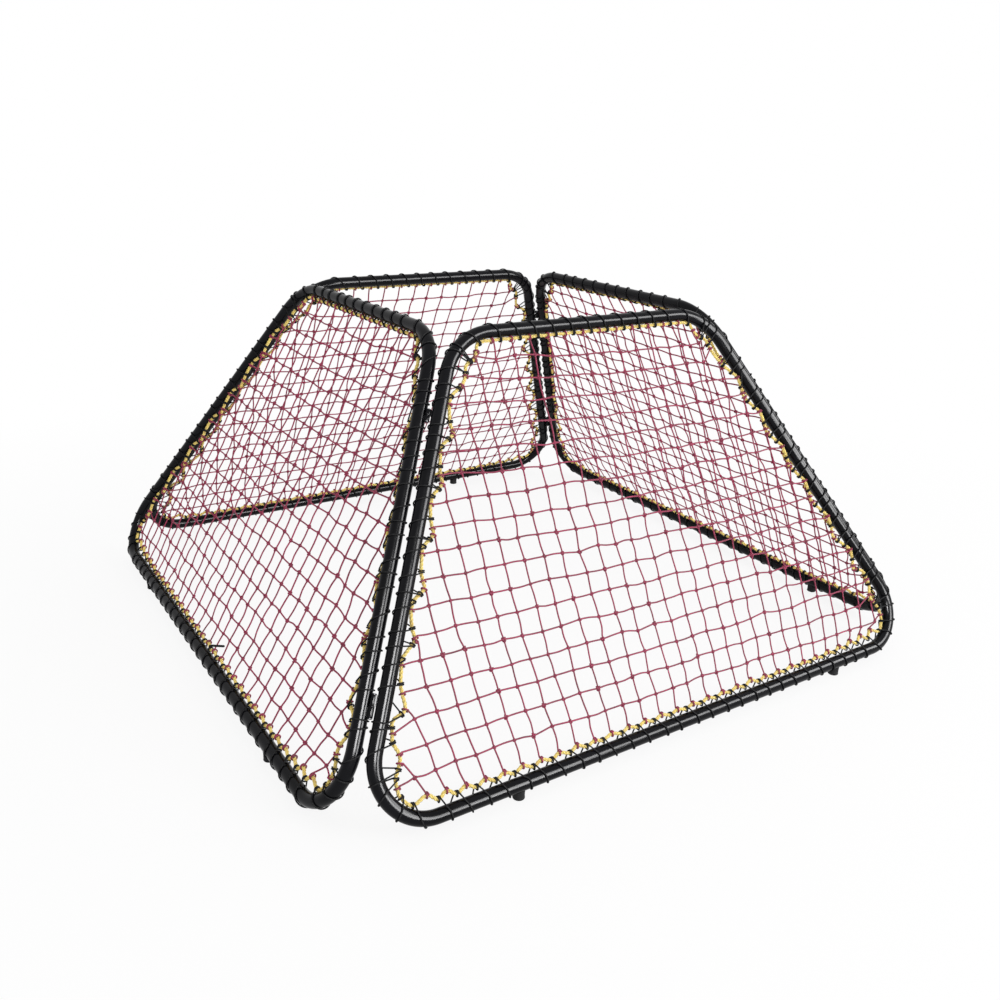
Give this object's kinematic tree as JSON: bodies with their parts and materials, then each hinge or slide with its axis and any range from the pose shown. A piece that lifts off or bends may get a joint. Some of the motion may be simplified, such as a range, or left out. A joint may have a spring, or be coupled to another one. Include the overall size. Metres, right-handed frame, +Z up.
{
  "type": "rebound net",
  "caption": "Four-sided rebound net: leaning trapezoid tube frames hinged into an open pyramid, each holding a laced-in square-mesh net.",
  "frame": {"origin": "on the floor, under the middle of the open pyramid: the bottom centre of the part's box", "axes": "+Z up; the front panel faces -Y, the right panel +X, the back panel +Y and the left panel -X"},
  "size_m": [1.5982, 1.5982, 0.8056],
  "materials": {
    "frame_paint": "black, glossy powder coat",
    "net_twine": "knotted maroon twine, matt",
    "edge_cord": "three-strand yellow cord, matt",
    "lacing_cord": "thin black cord, matt",
    "foot_rubber": "matt black",
    "pin_steel": "blackened, satin"
  },
  "bodies": {
    "front_panel": {"front_frame": "frame_paint", "front_net": "net_twine", "front_edge_cord": "edge_cord", "front_lacing": "lacing_cord", "front_foot_1": "foot_rubber", "front_foot_2": "foot_rubber", "front_left_lower_pin_knuckle": "frame_paint", "front_left_lower_pin": "pin_steel", "front_right_lower_pin_knuckle": "frame_paint", "front_right_lower_pin": "pin_steel", "front_left_upper_pin_knuckle": "frame_paint", "front_left_upper_pin": "pin_steel", "front_right_upper_pin_knuckle": "frame_paint", "front_right_upper_pin": "pin_steel"},
    "right_panel": {"right_frame": "frame_paint", "right_net": "net_twine", "right_edge_cord": "edge_cord", "right_lacing": "lacing_cord", "right_foot_1": "foot_rubber", "front_right_lower_knuckle": "frame_paint", "back_right_lower_pin_knuckle": "frame_paint", "back_right_lower_pin": "pin_steel", "front_right_upper_knuckle": "frame_paint", "back_right_upper_pin_knuckle": "frame_paint", "back_right_upper_pin": "pin_steel"},
    "back_panel": {"back_frame": "frame_paint", "back_net": "net_twine", "back_edge_cord": "edge_cord", "back_lacing": "lacing_cord", "back_foot_1": "foot_rubber", "back_right_lower_knuckle": "frame_paint", "back_left_lower_hook": "frame_paint", "back_right_upper_knuckle": "frame_paint", "back_left_upper_hook": "frame_paint"},
    "left_panel": {"left_frame": "frame_paint", "left_net": "net_twine", "left_edge_cord": "edge_cord", "left_lacing": "lacing_cord", "left_foot_1": "foot_rubber", "left_foot_2": "foot_rubber", "front_left_lower_knuckle": "frame_paint", "back_left_lower_pin_knuckle": "frame_paint", "back_left_lower_pin": "pin_steel", "front_left_upper_knuckle": "frame_paint", "back_left_upper_pin_knuckle": "frame_paint", "back_left_upper_pin": "pin_steel"}
  },
  "joints": [
    {"name": "front_left_hinge", "type": "hinge", "parent": "front_panel", "child": "left_panel", "pos_m": [-0.77251, -0.77251, 0.03332], "axis": [0.4362, 0.4362, 0.787], "range_deg": [0, 76]},
    {"name": "front_right_hinge", "type": "hinge", "parent": "front_panel", "child": "right_panel", "pos_m": [0.77251, -0.77251, 0.03332], "axis": [0.4362, -0.4362, -0.787], "range_deg": [0, 76]},
    {"name": "back_right_hinge", "type": "hinge", "parent": "right_panel", "child": "back_panel", "pos_m": [0.77251, 0.77251, 0.03332], "axis": [0.4362, 0.4362, -0.787], "range_deg": [0, 76]}
  ]
}
